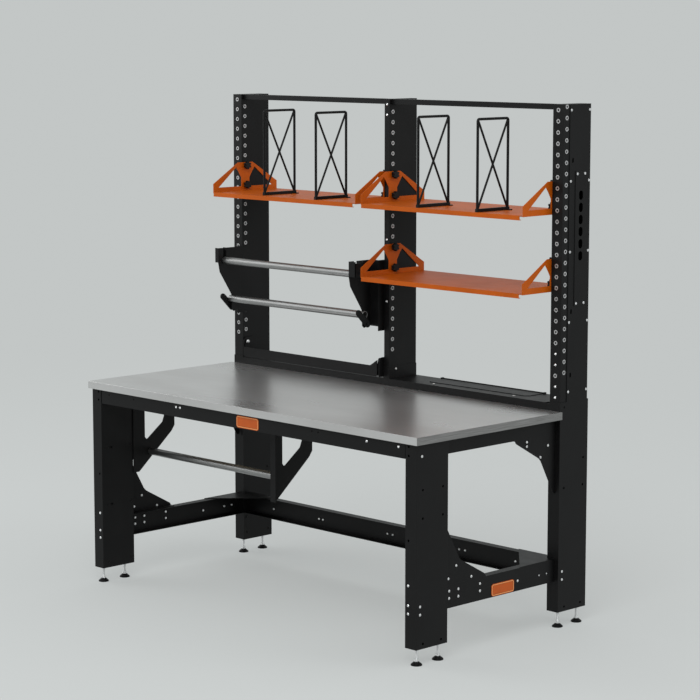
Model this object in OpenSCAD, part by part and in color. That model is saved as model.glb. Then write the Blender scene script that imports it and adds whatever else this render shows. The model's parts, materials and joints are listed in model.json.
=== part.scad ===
// Packing table: a worktop on a folded steel frame with levelling feet, and behind it
// a perforated frame with shelves, dividers, two roll holders and a tear-off bar.
// Millimetres, +Z up, the working side faces -Y, the part stands on z = 0.

/* [Worktop] */
// Width of the worktop.
top_w = 1800; // [1500:10:2200]
// Depth of the worktop.
top_d = 760; // [680:10:900]
// Thickness of the worktop with its steel cover.
top_t = 28; // [22:1:40]
// Height of the worktop above the floor.
top_h = 808; // [780:1:860]
// Reach of the worktop past the legs, at the front and the sides.
top_overhang = 12; // [8:1:20]
// Thickness of the steel cover round the worktop.
skin_t = 1.5; // [1:0.5:3]

/* [Legs and feet] */
// Width of a leg, along the table.
leg_w = 53.2; // [48:0.2:60]
// Depth of a leg, front to back.
leg_d = 157; // [150:1:170]
// Wall of the folded leg.
leg_wall = 2; // [1.5:0.5:3]
// Height of the legs' lower ends above the floor.
leg_lift = 60; // [50:1:68]
// Rise of the rear legs above the worktop.
rear_rise = 32; // [29:1:45]
// Thickness of the plate that closes a leg's lower end.
foot_plate_t = 5; // [4:1:8]
// Diameter of a foot's threaded stud.
stud_d = 10; // [8:1:14]
// Diameter of a foot's disc.
foot_d = 40; // [32:1:46]
// Height of a foot's disc.
foot_h = 14; // [10:1:20]
// Distance of a stud from the leg's outer face.
foot_side_inset = 21.6; // [20:0.2:24]
// Distance of a stud from the leg's front or rear face.
foot_end_inset = 25; // [20:1:32]
// Travel of a foot when it is screwed out.
foot_travel = 30; // [10:1:40]

/* [Rails] */
// Sheet of the rails, gussets and corner plates.
sheet_t = 2.5; // [2:0.5:4]
// Height of the aprons and of the upper side rails.
apron_h = 55; // [48:1:60]
// Depth of their folded edges.
apron_flange = 30; // [25:1:36]
// Height of the lower rails.
low_rail_h = 83; // [60:1:100]
// Height of the lower rails' undersides above the floor.
low_rail_z = 174; // [160:1:200]
// Depth of the lower rails' folded edges.
low_flange = 34; // [25:1:35]
// Distance of the side rails' webs from the legs' outer faces.
rail_inset = 20; // [17:1:22]
// Leg length of a gusset.
gusset_len = 221; // [150:1:240]
// Width of a gusset's folded edges.
gusset_flange = 24; // [18:1:28]
// Width of the members under the worktop.
member_w = 40; // [30:1:60]
// Height of the members under the worktop.
member_h = 34; // [25:1:40]

/* [Rear frame] */
// Height of the whole table.
total_h = 1918; // [1850:1:2100]
// Depth of an upright.
upright_d = 150; // [144:1:152]
// Width of the middle upright.
middle_w = 27; // [25:1:34]
// Wall of the uprights.
upright_wall = 2; // [1.5:0.5:2.5]
// Spacing of the threaded inserts.
insert_pitch = 40; // [38:1:42]
// Number of inserts in a column.
insert_count = 25; // [20:1:25]
// Outer diameter of an insert's flange.
insert_d = 16; // [13:1:17]
// Bore of an insert.
insert_bore = 8.7; // [8.5:0.1:9]
// Distance of the side columns from the uprights' front faces.
column_inset = 18; // [16:1:22]
// Height of the rails between the uprights' tops.
head_rail_h = 20; // [16:1:30]
// Depth of the rails between the uprights' tops.
head_rail_d = 25; // [20:1:32]

/* [Cable tray] */
// Height of the cable tray's top above the worktop.
tray_rise = 27; // [22:1:28]
// Sheet of the tray and its flap.
tray_t = 2; // [1.5:0.5:3]
// Width of the flap.
flap_w = 515; // [300:5:540]
// Depth of the flap.
flap_d = 92; // [70:1:96]

/* [Shelves] */
// Depth of a shelf.
shelf_d = 348; // [300:2:380]
// Height of a shelf's folded lips.
shelf_lip = 17; // [12:1:25]
// Sheet of a shelf.
shelf_t = 2; // [1.5:0.5:3]
// Thickness of a shelf bracket.
bracket_t = 2.4; // [2:0.2:4]
// Height of a shelf bracket.
bracket_h = 120; // [116:1:140]
// Diameter of a star knob.
knob_d = 32; // [26:1:38]
// Diameter of a star knob's screw.
screw_d = 8; // [7:0.1:8]
// Depth of a divider.
divider_d = 174; // [120:2:220]
// Height of a divider.
divider_h = 341; // [200:1:345]
// Diameter of a divider's rods.
rod_d = 10; // [7:0.5:12]

/* [Roll holders] */
// Diameter of a roller tube.
tube_d = 29; // [24:1:30]
// Diameter of the tubes' end journals.
journal_d = 16; // [12:1:17]
// Thickness of the roll holders' plates.
plate_t = 3; // [2:0.5:4]
// Length of a latch lever.
lever_len = 80; // [70:1:86]

/* [Output] */
// Name of the piece to draw, or all.

/* [Hidden] */

// One overrun for all cuts, and the clearances.
cut = 1;
run_gap = 0.05;
free_gap = 0.3;
$fn = 48;

// Where the legs, rails and uprights stand.
leg_x = -top_w / 2 + top_overhang;
leg_in_x = leg_x + leg_w;
top_gap = 1;
rear_y = top_d + top_gap;
back_y = rear_y + leg_d;
under_z = top_h - top_t;
rear_leg_top = top_h + rear_rise;
shelf_mid_y = rear_y + leg_wall + column_inset - top_gap;
shelf_y = shelf_mid_y - shelf_d / 2;
part_d = max(back_y, shelf_y + shelf_d);

// Uprights.
up_x = leg_x + leg_wall;
up_w = leg_w - 2 * leg_wall;
up_in_x = up_x + up_w;
up_y = rear_y + leg_wall;
middle_shift = 1;
mid_x = middle_shift - middle_w / 2;
up_socket = 118;
up_z = top_h - up_socket;
tray_z = top_h + tray_rise;

// Feet.
foot_rim_h = 4;
foot_neck_d = 16;
nut_h = 8;
stud_spare = 8;
stud_top = leg_lift + foot_plate_t + nut_h + foot_travel + stud_spare;
nut_d = 19;
wrench_d = 17;
wrench_h = 6;

// Places along the leg's depth and the worktop's height, as shares of them.
front_outer_bolts_share = [[0.165, 0.913], [0.12, 0.262], [0.12, 0.2265]];
front_outer_holes_share = [[0.2, 0.767], [0.84, 0.767], [0.2, 0.644], [0.84, 0.644],
  [0.22, 0.0965], [0.8, 0.0965]];
front_face_bolts_share = [[0.714, 0.35], [0.714, 0.2636], [0.714, 0.2265]];
front_face_holes_share = [[0.714, 0.952], [0.714, 0.913], [0.714, 0.546]];
front_inner_bolts_share = [[0.175, 0.673], [0.917, 0.673], [0.175, 0.39],
  [0.917, 0.39], [0.175, 0.1046], [0.917, 0.1046]];
front_inner_holes_share = [[0.3025, 0.673], [0.3025, 0.39]];
rear_outer_bolts_share = [[0.134, 0.262], [0.134, 0.225]];
rear_outer_holes_share = [[0.85, 0.772], [0.84, 0.647], [0.17, 0.647], [0.23, 0.0955],
  [0.81, 0.0965], [0.14, 1.017]];
rear_inner_bolts_share = [[0.121, 0.111], [0.885, 0.11], [0.09, 0.192], [0.86, 0.4406]];
hole_d = 9;

// Bolts: a button head with a hexagonal socket on a short shank.
bolt_d = 6;
bolt_head_d = 10;
bolt_head_h = 3.2;
bolt_edge_h = 1.2;
bolt_crown = 2.4;
bolt_len = 7;
socket_d = 4.6;
socket_deep = 1.8;
rail_nut_d = 10;
rail_nut_h = 4;
bolt_hole_d = bolt_d + 2 * free_gap;

// Aprons and rails.
apron_setback = 1;
apron_gap = 3;
apron_y = top_overhang + apron_setback;
apron_z = under_z - apron_h;
apron_row_share = 0.7;
front_apron_bolts_share = [0.3587, 0.4444];
front_apron_holes_share = [-0.4361, -0.3517];
rear_apron_bolts_share = [-0.42, -0.23, 0.25, 0.42];
bolt_pair_share = 0.2925;
hole_pair_share = 0.4;
function along_top(places_share) = [for (s = places_share) s * top_w];
member_share = [-0.2044, 0.2133];
front_bolts_x = concat(along_top(front_apron_bolts_share),
  [for (s = [-1, 1]) member_share[0] * top_w + s * bolt_pair_share * member_w]);
front_holes_x = concat(along_top(front_apron_holes_share),
  [for (s = [-1, 1]) member_share[1] * top_w + s * hole_pair_share * member_w]);
rear_bolts_x = along_top(rear_apron_bolts_share);
rail_y = top_overhang + leg_d;
rail_len = rear_y - rail_y;
rail_x = leg_x + rail_inset;
side_low_bolts_share = [[0.05, 0.42], [0.13, 0.42], [0.32, 0.42], [0.05, 0.74],
  [0.13, 0.74], [0.32, 0.74], [0.66, 0.45]];
side_low_inner_share = [[0.86, 0.45], [0.93, 0.45]];
rear_rail_bolts_share = [0.12, 0.271, 0.284, 0.488, 0.504, 0.703, 0.72, 0.862];
rear_rail_row_share = 0.42;
rear_rail_y = rear_y + low_flange;

// Gussets, in shares of their leg length from the corner.
gusset_share = [[0, 0], [1, 0], [0.977, 0.05], [0.412, 0.362], [0.362, 0.412],
  [0.05, 0.977], [0, 1]];
high_gusset_bolts_share = [[0.715, 0.052], [0.715, 0.124], [0.375, 0.345], [0.19, 0.17]];
low_gusset_bolts_share = [[0.65, 0.055], [0.295, 0.29], [0.115, 0.105]];
corner_x_share = 0.905;
corner_len = 190;

// Inserts: a flange on a shank with a bore.
insert_flange = 0.8;
insert_shank_d = 10.4;
insert_len = 8;
insert_hole_d = insert_shank_d + 2 * free_gap;
front_first = 20.8;
side_first = 8.9;
middle_bolt_row_counts = [0, 1, 13, 19];
sleeve_h = 48;
function front_z(k) = total_h - front_first - k * insert_pitch;
function side_z(k) = total_h - side_first - k * insert_pitch;
function above_leg(rows) =
  [for (k = rows) if (front_z(k) - insert_d / 2 > rear_leg_top + free_gap) k];
function above_sleeve(rows) =
  [for (k = rows) if (side_z(k) - insert_d / 2 > tray_z + sleeve_h + free_gap) k];
function not_in(k, list) = len([for (q = list) if (q == k) q]) == 0;
left_rows = above_leg([0 : insert_count - 1]);
right_bolt_row_counts = [22, 23, 25, 26];
right_bolt_rows = above_leg(right_bolt_row_counts);
right_rows = [for (k = above_leg([0 : insert_count + 1])) if (not_in(k, right_bolt_rows)) k];
outer_rows = above_sleeve([0 : insert_count - 1]);
inner_rows = above_sleeve([1 : insert_count - 1]);

// Covers on the outer faces of the outer uprights, and the plate with the slots.
cover_t = leg_wall;
cover_front = 34;
cover_y = up_y + cover_front;
cover_edge = 1;
cover_d = upright_d - cover_front - cover_edge;
window_edge = 14;
cover_bolts_share = [0.0195, 0.256, 0.4926, 0.73, 0.966];
cover_ovals_share = [0.187, 0.694, 0.91];
oval_w = 8;
oval_h = 18;
cover_bolt_inset = 7;
slot_plate_t = 2;
slot_plate_w = 62;
slot_plate_front = 32;
slot_plate_y = cover_y + slot_plate_front;
slot_plate_h = 490;
slot_plate_share = 0.223;
slot_count = 6;
slot_w = 22;
slot_h = 34;
slot_pitch = 44;
slot_first = 182;
slot_bolt_inset = 10;

// Tray.
tray_x = leg_in_x;
tray_end_gap = 19;
tray_len = -2 * leg_in_x;
apron_tail = sheet_t + free_gap;
tray_d = leg_d - apron_tail;
flap_place_share = 0.536;
flap_bay_x = mid_x + middle_w;
flap_x = flap_bay_x + flap_place_share * (-leg_in_x - tray_end_gap - flap_bay_x - flap_w);
flap_lap = 6;
flap_rear = 8;
flap_y = rear_y + tray_d - flap_rear - flap_d;
flap_corner = 22;
flap_pin_d = 5;
flap_lift = flap_pin_d / 2 + free_gap;
hinge_lug_w = 8;
hinge_lug_d = 12;
hinge_lug_h = 6;
hinge_pin_out = 7;

// Sleeve round the middle upright's foot.
sleeve_t = 1.5;
sleeve_bolt_y = 36;
sleeve_bolt_z = 36;

// Tear-off bar and its brackets.
bar_t = 3;
bar_h = 37;
bar_clear = 5;
bar_z = tray_z + bar_clear;
bar_y = up_y;
bar_arm_t = 3;
bracket_arm_t = 3;
bar_side_gap = 0.4;
bar_gap_left = bracket_arm_t + bar_side_gap;
bar_right_short = 40;
bar_lug_h = 24;
bar_lug_w = 38;
pivot_d = 8;
pivot_y = up_y + column_inset;
pivot_rise = 91;
pivot_z = top_h + pivot_rise;
arm_w = 18;
stand_w = 72;
cheek_reach = 26;
nose_h = 58;

// Shelves and brackets; the places of the rows are counted in insert pitches.
bracket_flange = 25;
bracket_nose_share = 0.316;
bracket_top_share = [0.385, 0.615];
bracket_window_share = [[0.08, 0.185], [0.437, 0.185], [0.437, 0.48], [0.392, 0.69],
  [0.355, 0.835]];
shelf_drop = 103.5;
upper_row_count = 7;
lower_row_count = 14;
knob_row_counts = [0, 2];
lip_return = 9;
lip_relief = 15;
lift_gap = insert_flange;

// Star knobs.
knob_h = 14;
knob_neck_d = 18;
knob_neck_h = 5;
knob_lobe_count = 6;
knob_lobe_share = 0.26;
knob_ring_share = 0.72;
knob_reach = 10;
knob_bore_d = screw_d + 2 * free_gap;

// Dividers.
foot_bar_h = 12;
foot_bar_w = 12;
foot_tab_len = 16;
foot_tab_w = 20;
foot_tab_t = 4;
rod_bend = 8;
brace_d = 8;
divider_x_share = [-0.3128, -0.1372, 0.1733, 0.3383];
divider_y_share = [0.0805, 0.0287, 0.003, 0.006];

// Upper roll holder: the plates' outline in shares of its depth and height.
roll_depth = 121;
roll_h = 264;
roll_place_share = 0.32;
roll_zone_low = pivot_z + arm_w;
roll_zone_high = shelf_top(upper_row_count) - shelf_t - bracket_t;
roll_wing_drop = 12;
roll_tall = roll_h + roll_wing_drop;
roll_top_z = roll_zone_low + roll_tall
  + roll_place_share * (roll_zone_high - roll_zone_low - roll_tall);
roll_stand = 149;
roll_y = up_y - roll_stand;
roll_share = [[0, 1], [0, 0.777], [0.066, 0.629], [0.512, 0.318], [0.58, 0.265],
  [0.6, 0.13], [0.6, 0.03], [0.68, 0], [1, 0.049], [1, 1]];
roll_step_left = 20;
roll_step_right = 45;
roll_lip_left = 17;
roll_lip_right = 33;
roll_lip_h = 59;
roll_wing_d = 60;
top_tube_in = 34;
top_tube_y = roll_y + top_tube_in;
top_tube_drop = 51;
top_tube_z = roll_top_z - top_tube_drop;
guide_tube_in = 76;
low_tube_y = roll_y + guide_tube_in;
guide_tube_drop = 212;
low_tube_z = roll_top_z - guide_tube_drop;
tube_end_play = 1;
tube_out = 10;
tube_wall = 2;
top_journal_out = 7;

// Latch levers: a bar from its pivot to its tip.
lever_t = 6;
lever_rise = 136.5;
lever_root_w = 24;
lever_tip_w = 14;
lever_pin_d = 8;
lever_pin_in = 86;
lever_pin_y = roll_y + lever_pin_in;
lever_pin_drop = 248;
lever_pin_z = roll_top_z - lever_pin_drop;
lever_gap = 0.4;
lever_pin_out = tube_out + lever_t + 2 * lever_gap;

// Lower roll holder, in shares of its depth and height.
low_roll_d = 214;
low_roll_h = 353;
low_strip_share = 0.276;
low_prong_share = 0.752;
low_roll_share = [[0, 0], [0.131, 0], [0.925, 0.4136], [1, 0.476], [1, 1],
  [low_prong_share, 1], [low_prong_share, 0.603], [0.706, 0.5326], [0.35, 0.37],
  [0.313, 0.3626], [low_strip_share, 0.39], [low_strip_share, 1], [0, 1]];
low_roll_flange = 28;
low_roll_gap = 5;
low_roll_x_left = rail_x + apron_flange + low_roll_gap + plate_t;
low_roll_x_right = -23;
low_tube_in = 89;
low_tube_hold_y = rail_y + low_tube_in;
low_tube_drop = 277;
low_tube_hold_z = under_z - low_tube_drop;
low_top_flange = 22;

// Bare plates.
badge_w = 121;
badge_h = 45;
badge_t = 1.5;
badge_r = 10;
badge_groove = 2;
badge_groove_in = 4;
badge_groove_deep = 0.6;
badge_x = 25.5;
badge_share = 0.5;
side_badge_share = 0.5236;

// Colours.
black = [0.05, 0.05, 0.055];
orange = [0.85, 0.33, 0.05];
steel = [0.72, 0.73, 0.74];
board = [0.55, 0.55, 0.56];

// Brings the part from its working frame, measured from the worktop's front edge,
// to the frame with its origin under the middle.
module place() {
  translate([0, -part_d / 2, 0]) children();
}

module right_side() {
  mirror([1, 0, 0]) children();
}

module both_sides() {
  children();
  right_side() children();
}

// Point the children's +Z at one side.
module to_front() {
  rotate([90, 0, 0]) children();
}

module to_left() {
  rotate([0, -90, 0]) children();
}

module to_right() {
  rotate([0, 90, 0]) children();
}

// An outline in the plane of Y and Z, raised from x = 0 by t along +X.
module side_plate(t) {
  rotate([90, 0, 90]) linear_extrude(t) children();
}

// A channel along +X: web at y = 0, folded edges towards +Y.
module channel(len, h, flange, t) {
  difference() {
    cube([len, flange, h]);
    translate([-cut, t, t]) cube([len + 2 * cut, flange, h - 2 * t]);
  }
}

// The same along +Y, web at x = 0, folded edges towards +X.
module side_channel(len, h, flange, t) {
  mirror([1, 0, 0]) rotate([0, 0, 90]) channel(len, h, flange, t);
}

module bolt_with(shank) {
  difference() {
    rotate_extrude() polygon([[0, -shank], [bolt_d / 2, -shank], [bolt_d / 2, 0],
      [bolt_head_d / 2, 0], [bolt_head_d / 2, bolt_edge_h],
      [bolt_head_d / 2 - bolt_crown, bolt_head_h], [0, bolt_head_h]]);
    translate([0, 0, bolt_head_h - socket_deep]) cylinder(d = socket_d, h = bolt_head_h, $fn = 6);
  }
}

module bolt() {
  bolt_with(bolt_len);
}

// The same with a nut behind the sheet.
module nut_bolt() {
  union() {
    bolt();
    translate([0, 0, -sheet_t - rail_nut_h])
      cylinder(d = rail_nut_d, h = rail_nut_h, $fn = 6);
  }
}

// A short one that ends in its sheet.
module short_bolt() {
  bolt_with(sheet_t);
}

// A head alone, on a pin's end or pressed into a leg.
module bolt_head() {
  difference() {
    rotate_extrude() polygon([[0, 0], [bolt_head_d / 2, 0], [bolt_head_d / 2, bolt_edge_h],
      [bolt_head_d / 2 - bolt_crown, bolt_head_h], [0, bolt_head_h]]);
    translate([0, 0, bolt_head_h - socket_deep]) cylinder(d = socket_d, h = bolt_head_h, $fn = 6);
  }
}

module bolt_hole() {
  translate([0, 0, -bolt_len - cut]) cylinder(d = bolt_hole_d, h = bolt_len + 2 * cut, $fn = 24);
}

module dark_hole() {
  translate([0, 0, -leg_wall - cut]) cylinder(d = hole_d, h = leg_wall + 2 * cut, $fn = 24);
}

// Worktop: a board in a folded steel cover.
module board_block(grow) {
  translate([-top_w / 2 + skin_t, skin_t, under_z - grow])
    cube([top_w - 2 * skin_t, top_d - 2 * skin_t, top_t - skin_t + grow]);
}

module worktop_core() {
  color(board) place() board_block(0);
}

module worktop_cover() {
  color(steel) place() difference() {
    translate([-top_w / 2, 0, under_z]) cube([top_w, top_d, top_t]);
    board_block(cut);
  }
}

// Places on a leg: x and y from its outer front corner, z from the floor.
module on_outer(places_share) {
  for (p = places_share)
    translate([0, p[0] * leg_d, p[1] * top_h]) to_left() children();
}

module on_inner(places_share) {
  for (p = places_share)
    translate([leg_w, p[0] * leg_d, p[1] * top_h]) to_right() children();
}

module on_front(places_share) {
  for (p = places_share)
    translate([p[0] * leg_w, 0, p[1] * top_h]) to_front() children();
}

module front_leg_bolts() {
  on_outer(front_outer_bolts_share) children();
  on_front(front_face_bolts_share) children();
}

module rear_leg_bolts() {
  on_outer(rear_outer_bolts_share) children();
}

module foot_places() {
  for (y = [foot_end_inset, leg_d - foot_end_inset])
    translate([foot_side_inset, y, 0]) children();
}

module leg_body(h) {
  difference() {
    union() {
      difference() {
        translate([0, 0, leg_lift]) cube([leg_w, leg_d, h - leg_lift]);
        translate([leg_wall, leg_wall, leg_lift + foot_plate_t])
          cube([leg_w - 2 * leg_wall, leg_d - 2 * leg_wall, h]);
      }
      foot_places() translate([0, 0, leg_lift + foot_plate_t])
        cylinder(d = nut_d, h = nut_h, $fn = 6);
    }
    foot_places() translate([0, 0, leg_lift - cut])
      cylinder(d = stud_d + 2 * run_gap, h = foot_plate_t + nut_h + 2 * cut);
  }
}

module front_leg() {
  translate([leg_x, top_overhang, 0]) union() {
    difference() {
      leg_body(under_z);
      front_leg_bolts() bolt_hole();
      on_outer(front_outer_holes_share) dark_hole();
      on_front(front_face_holes_share) dark_hole();
      on_inner(front_inner_holes_share) dark_hole();
    }
    on_inner(front_inner_bolts_share) bolt_head();
  }
}

module rear_leg() {
  translate([leg_x, rear_y, 0]) union() {
    difference() {
      leg_body(rear_leg_top);
      rear_leg_bolts() bolt_hole();
      on_outer(rear_outer_holes_share) dark_hole();
    }
    on_inner(rear_inner_bolts_share) bolt_head();
  }
}

module leg_front_left() {
  color(black) place() front_leg();
}

module leg_front_right() {
  color(black) place() right_side() front_leg();
}

module leg_rear_left() {
  color(black) place() rear_leg();
}

module leg_rear_right() {
  color(black) place() right_side() rear_leg();
}

// Levelling foot: a conical disc, a neck with flats and a threaded stud.
module foot() {
  color(steel) union() {
    rotate_extrude() polygon([[0, 0], [foot_d / 2, 0], [foot_d / 2, foot_rim_h],
      [foot_neck_d / 2, foot_h], [0, foot_h]]);
    translate([0, 0, foot_h]) cylinder(d = wrench_d, h = wrench_h, $fn = 6);
    translate([0, 0, foot_h]) cylinder(d = stud_d, h = stud_top - foot_h);
  }
}

module foot_at(y) {
  translate([leg_x + foot_side_inset, y, 0]) foot();
}

module foot_fl_front() {
  place() foot_at(top_overhang + foot_end_inset);
}

module foot_fl_rear() {
  place() foot_at(top_overhang + leg_d - foot_end_inset);
}

module foot_fr_front() {
  place() right_side() foot_at(top_overhang + foot_end_inset);
}

module foot_fr_rear() {
  place() right_side() foot_at(top_overhang + leg_d - foot_end_inset);
}

module foot_rl_front() {
  place() foot_at(rear_y + foot_end_inset);
}

module foot_rl_rear() {
  place() foot_at(rear_y + leg_d - foot_end_inset);
}

module foot_rr_front() {
  place() right_side() foot_at(rear_y + foot_end_inset);
}

module foot_rr_rear() {
  place() right_side() foot_at(rear_y + leg_d - foot_end_inset);
}

// Aprons: channels between the legs with end plates against them.
module apron() {
  translate([leg_in_x + apron_gap, 0, apron_z])
    channel(-2 * (leg_in_x + apron_gap), apron_h, apron_flange, sheet_t);
  for (side = [0, 1]) mirror([side, 0, 0])
    translate([leg_in_x, sheet_t, apron_z + sheet_t])
      cube([apron_gap + sheet_t, apron_flange - sheet_t, apron_h - 2 * sheet_t]);
}

module apron_row(places) {
  for (x = places) translate([x, 0, apron_z + apron_row_share * apron_h]) to_front() children();
}

module front_apron() {
  translate([0, apron_y, 0]) difference() {
    apron();
    apron_row(front_bolts_x) bolt_hole();
    apron_row(front_holes_x) bolt_hole();
  }
}

module at_rear_apron() {
  translate([0, back_y, 0]) mirror([0, 1, 0]) children();
}

module rear_apron() {
  at_rear_apron() difference() {
    apron();
    apron_row(rear_bolts_x) bolt_hole();
  }
}

module aprons() {
  color(black) place() {
    front_apron();
    rear_apron();
  }
}

module side_rails_upper() {
  color(black) place() both_sides() translate([rail_x, rail_y, apron_z])
    side_channel(rail_len, apron_h, apron_flange, sheet_t);
}

// Lower rails.
module low_side_bolts() {
  for (p = side_low_bolts_share)
    translate([rail_x, rail_y + p[0] * rail_len, low_rail_z + p[1] * low_rail_h])
      to_left() children();
}

module low_side_inner_bolts() {
  for (p = side_low_inner_share)
    translate([rail_x + sheet_t, rail_y + p[0] * rail_len, low_rail_z + p[1] * low_rail_h])
      to_right() children();
}

module low_side_rail() {
  difference() {
    translate([rail_x, rail_y, low_rail_z])
      side_channel(rail_len, low_rail_h, low_flange, sheet_t);
    low_side_bolts() bolt_hole();
    low_side_inner_bolts() bolt_hole();
  }
}

module side_rails_lower() {
  color(black) place() both_sides() low_side_rail();
}

module low_rear_bolts() {
  for (s = rear_rail_bolts_share)
    translate([-top_w / 2 + s * top_w, rear_rail_y - sheet_t,
      low_rail_z + rear_rail_row_share * low_rail_h]) to_front() children();
}

module rear_rail_lower() {
  color(black) place() difference() {
    translate([leg_in_x, rear_rail_y, low_rail_z]) mirror([0, 1, 0])
      channel(-2 * leg_in_x, low_rail_h, low_flange, sheet_t);
    low_rear_bolts() bolt_hole();
  }
}

// A gusset in its corner at the origin: along +Y and -Z, with folded edges.
module gusset_sheet() {
  side_plate(sheet_t) polygon([for (p = gusset_share) [p[0] * gusset_len, -p[1] * gusset_len]]);
  translate([0, 0, -sheet_t]) cube([gusset_flange, gusset_len, sheet_t]);
  translate([0, 0, -gusset_len]) cube([gusset_flange, sheet_t, gusset_len]);
}

module gusset_bolts(places_share) {
  for (p = places_share)
    translate([0, p[0] * gusset_len, -p[1] * gusset_len]) to_left() children();
}

module at_upper_gusset() {
  translate([rail_x, rear_y, apron_z]) mirror([0, 1, 0]) children();
}

module at_lower_gusset() {
  translate([rail_x, rail_y, low_rail_z + low_rail_h]) mirror([0, 0, 1]) children();
}

module gusset(places_share) {
  difference() {
    gusset_sheet();
    gusset_bolts(places_share) bolt_hole();
  }
}

// Flat corner plates lie on the lower rails, round the rear legs.
module corner_plate() {
  translate([rail_x, rear_y, low_rail_z + low_rail_h])
    linear_extrude(sheet_t) polygon([[0, -corner_len], [0, 0], [leg_w - rail_inset, 0],
      [leg_w - rail_inset, low_flange], [corner_x_share * (corner_len + low_flange), low_flange]]);
}

module corner_gussets() {
  color(black) place() both_sides() {
    at_upper_gusset() gusset(high_gusset_bolts_share);
    at_lower_gusset() gusset(low_gusset_bolts_share);
    corner_plate();
  }
}

// Members under the worktop, between the aprons' webs.
module under_top_members() {
  color(black) place() for (s = member_share)
    translate([s * top_w - member_w / 2, apron_y + sheet_t, under_z - sheet_t - member_h])
      difference() {
        cube([member_w, back_y - apron_y - 2 * sheet_t, member_h]);
        translate([sheet_t, -cut, -cut])
          cube([member_w - 2 * sheet_t, back_y, member_h - sheet_t + cut]);
      }
}

// Columns of inserts. Rows are counted from the top.
module front_column(x, rows) {
  for (k = rows)
    translate([x, up_y, front_z(k)]) to_front() children();
}

module side_row(k) {
  translate([0, up_y + column_inset, side_z(k)]) children();
}

module left_inner(rows) {
  for (k = rows) translate([up_in_x, 0, 0]) side_row(k) to_right() children();
}

module left_outer(rows) {
  for (k = rows) translate([up_x, 0, 0]) side_row(k) to_left() children();
}

module middle_left(rows) {
  for (k = rows) translate([mid_x, 0, 0]) side_row(k) to_left() children();
}

module middle_right(rows) {
  for (k = rows) translate([mid_x + middle_w, 0, 0]) side_row(k) to_right() children();
}

module insert_hole() {
  translate([0, 0, -upright_wall - cut])
    cylinder(d = insert_hole_d, h = upright_wall + 2 * cut, $fn = 24);
}

module insert() {
  rotate_extrude() polygon([[insert_bore / 2, -insert_len], [insert_shank_d / 2, -insert_len],
    [insert_shank_d / 2, 0], [insert_d / 2, 0], [insert_d / 2, insert_flange],
    [insert_bore / 2, insert_flange]]);
}

module all_inserts() {
  front_column(up_x + up_w / 2, left_rows) children();
  right_side() front_column(up_x + up_w / 2, right_rows) children();
  both_sides() {
    left_outer(outer_rows) children();
    left_inner(inner_rows) children();
  }
  middle_left(inner_rows) children();
  middle_right(inner_rows) children();
}

module thread_inserts() {
  color(steel) place() all_inserts() insert();
}

// Uprights: folded boxes; the outer ones are open behind their covers.
module tube_box(w, d, h, wall) {
  difference() {
    cube([w, d, h]);
    translate([wall, wall, -cut]) cube([w - 2 * wall, d - 2 * wall, h - wall + cut]);
  }
}

module outer_upright() {
  difference() {
    translate([up_x, up_y, up_z]) tube_box(up_w, upright_d, total_h - up_z, upright_wall);
    translate([up_x - cut, cover_y + window_edge, rear_leg_top + window_edge])
      cube([upright_wall + 2 * cut, cover_d - 2 * window_edge,
        total_h - rear_leg_top - 2 * window_edge]);
    left_outer(outer_rows) insert_hole();
    left_inner(inner_rows) insert_hole();
    cover_bolts() bolt_hole();
  }
}

module upright_left() {
  color(black) place() difference() {
    outer_upright();
    front_column(up_x + up_w / 2, left_rows) insert_hole();
  }
}

module right_front_bolts_at() {
  right_side() front_column(up_x + up_w / 2, right_bolt_rows) children();
}

module upright_right() {
  color(black) place() difference() {
    right_side() outer_upright();
    right_side() front_column(up_x + up_w / 2, right_rows) insert_hole();
    right_front_bolts_at() bolt_hole();
  }
}

module middle_front_bolts_at() {
  front_column(mid_x + middle_w / 2, middle_bolt_row_counts) children();
}

module upright_middle() {
  color(black) place() difference() {
    translate([mid_x, up_y, under_z])
      tube_box(middle_w, upright_d, total_h - under_z, upright_wall);
    middle_left(inner_rows) insert_hole();
    middle_right(inner_rows) insert_hole();
    middle_front_bolts_at() bolt_hole();
    sleeve_bolts() bolt_hole();
  }
}

module sleeve_bolts() {
  translate([mid_x + middle_w + sleeve_t, up_y + sleeve_bolt_y, tray_z + sleeve_bolt_z])
    to_right() children();
}

// Sleeve round the middle upright, standing on the tray.
module middle_sleeve() {
  difference() {
    translate([mid_x - sleeve_t, up_y - sleeve_t, tray_z])
      cube([middle_w + 2 * sleeve_t, upright_d + 2 * sleeve_t, sleeve_h]);
    translate([mid_x, up_y, tray_z - cut]) cube([middle_w, upright_d, sleeve_h + 2 * cut]);
    sleeve_bolts() bolt_hole();
  }
}

// Rails between the uprights' tops, open below.
module head_rail(x0, x1) {
  translate([x0, up_y + head_rail_back, total_h - head_rail_h]) difference() {
    cube([x1 - x0, head_rail_d, head_rail_h]);
    translate([upright_wall, upright_wall, -cut])
      cube([x1 - x0 - 2 * upright_wall, head_rail_d - 2 * upright_wall,
        head_rail_h - upright_wall + cut]);
  }
}
head_rail_back = 12;

module head_rails() {
  color(black) place() {
    head_rail(up_in_x, mid_x);
    head_rail(mid_x + middle_w, -up_in_x);
  }
}

// Covers on the outer faces, with the slots for cables on the right one.
module cover_bolts() {
  for (s = cover_bolts_share, y = [cover_bolt_inset, cover_d - cover_bolt_inset])
    translate([up_x - cover_t, cover_y + y, total_h - s * (total_h - rear_leg_top)])
      to_left() children();
}

module oval(w, h, t) {
  linear_extrude(t) union() {
    translate([-w / 2, -(h - w) / 2]) square([w, h - w]);
    for (s = [-1, 1]) translate([0, s * (h - w) / 2]) circle(d = w);
  }
}

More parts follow.
